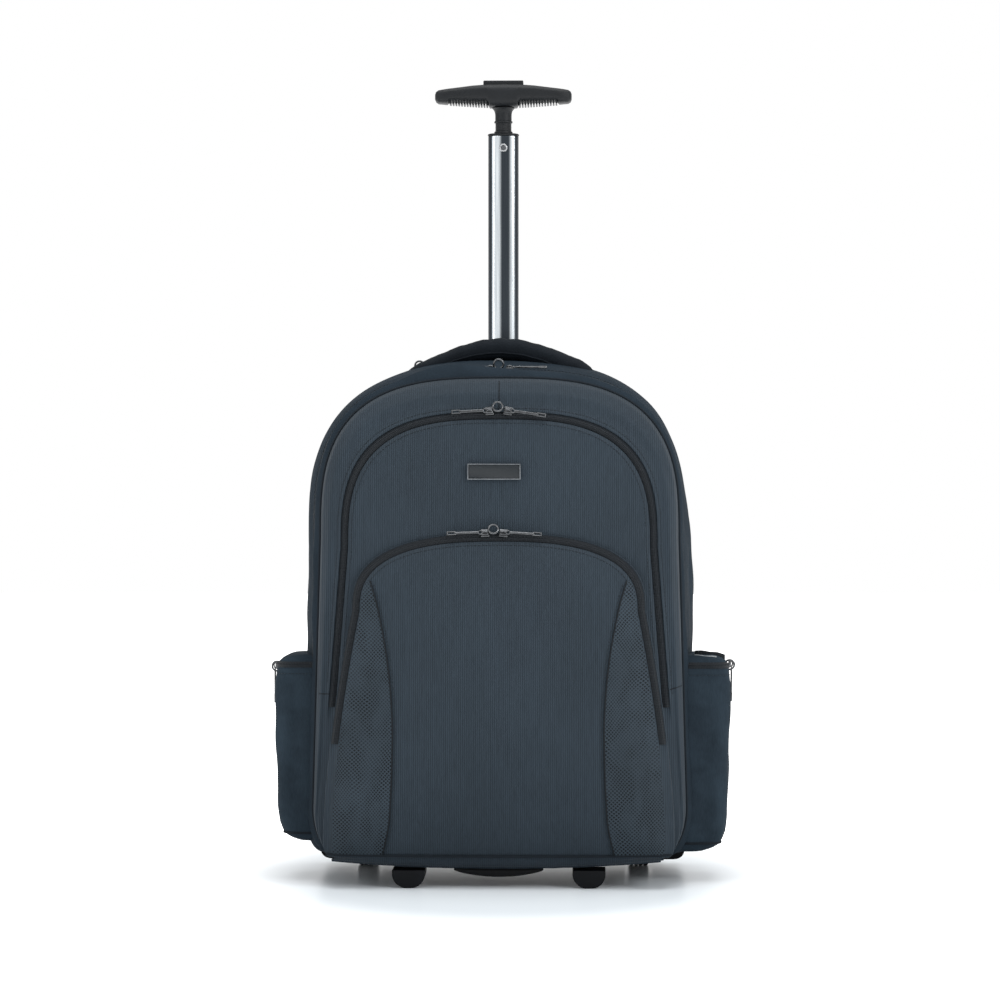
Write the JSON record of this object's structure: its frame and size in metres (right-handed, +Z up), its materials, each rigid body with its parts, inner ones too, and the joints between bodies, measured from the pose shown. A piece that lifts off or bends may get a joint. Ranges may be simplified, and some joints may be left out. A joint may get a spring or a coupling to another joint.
{
  "type": "wheeled backpack",
  "caption": "Soft two-wheeled backpack with arched front compartment and pocket, side pockets, shoulder straps, carry handle and a telescopic pole with a T grip.",
  "frame": {"origin": "on the floor under the middle of the whole backpack's bounding box", "axes": "+X to the right seen from the front, -Y out of the bag's front, +Z up along the pole"},
  "size_m": [0.4544, 0.2706, 0.7852],
  "materials": {
    "front_cloth": "dark slate teal ribbed polyester, two tones of fine vertical ribs",
    "side_cloth": "darker slate smooth polyester with soft wrinkles",
    "back_cloth": "black padded polyester",
    "mesh": "dark slate mesh over cloth, cut on the bias",
    "handle_cloth": "black padded cloth with a soft sheen",
    "zip_tape": "black reverse coil zip tape",
    "gunmetal": "gunmetal plated",
    "badge": "dark brown-black, bare",
    "black_plastic": "black moulded plastic",
    "grip_plastic": "blue-black moulded plastic",
    "tube": "polished",
    "steel": "plated",
    "tyre": "matt black",
    "hub_plastic": "dark grey moulded plastic",
    "webbing": "black woven webbing"
  },
  "bodies": {
    "bag": {"front_compartment": "front_cloth", "lower_pocket": "front_cloth", "main_shell": "side_cloth", "side_pocket_left": "side_cloth", "side_pocket_right": "side_cloth", "shoulder_strap_left": "side_cloth", "shoulder_strap_right": "side_cloth", "back_panel": "back_cloth", "mesh_panel_left": "mesh", "mesh_panel_right": "mesh", "carry_handle": "handle_cloth", "zip_main": "zip_tape", "zip_rear": "zip_tape", "zip_front": "zip_tape", "zip_lower": "zip_tape", "zip_side_left": "zip_tape", "zip_side_right": "zip_tape", "zip_pull_front_left": "gunmetal", "zip_pull_front_right": "gunmetal", "zip_pull_lower_left": "gunmetal", "zip_pull_lower_right": "gunmetal", "zip_pull_main_left": "gunmetal", "zip_pull_main_right": "gunmetal", "zip_pull_rear": "gunmetal", "zip_pull_side_left": "gunmetal", "zip_pull_side_right": "gunmetal", "badge_frame": "gunmetal", "badge_plate": "badge", "base_tray": "black_plastic", "wheel_housing_left": "black_plastic", "wheel_housing_right": "black_plastic", "foot_left": "black_plastic", "foot_right": "black_plastic", "pole_collar": "black_plastic", "strap_buckle_left": "black_plastic", "strap_buckle_right": "black_plastic", "pole_guide": "tube", "axle_left": "steel", "axle_right": "steel", "bottom_grip": "webbing", "strap_webbing_left": "webbing", "strap_webbing_right": "webbing"},
    "trolley": {"pole": "tube", "pole_cap": "grip_plastic", "pole_rivet": "steel", "grip_neck": "grip_plastic", "grip": "grip_plastic"},
    "button": {"grip_button": "grip_plastic"},
    "wheel_left": {"tyre_left": "tyre", "hub_left": "hub_plastic"},
    "wheel_right": {"tyre_right": "tyre", "hub_right": "hub_plastic"}
  },
  "joints": [
    {"name": "pole_slide", "type": "slide", "parent": "bag", "child": "trolley", "axis": [0, 0, 1], "range_m": [-0.205, 0]},
    {"name": "button_press", "type": "slide", "parent": "trolley", "child": "button", "axis": [0, 0, -1], "range_m": [0, 0.003], "stiffness_N_per_m": 400},
    {"name": "wheel_left_spin", "type": "hinge", "parent": "bag", "child": "wheel_left", "pos_m": [-0.13829, 0.07473, 0.032], "axis": [1, 0, 0], "continuous": true},
    {"name": "wheel_right_spin", "type": "hinge", "parent": "bag", "child": "wheel_right", "pos_m": [0.13171, 0.07473, 0.032], "axis": [1, 0, 0], "continuous": true}
  ]
}
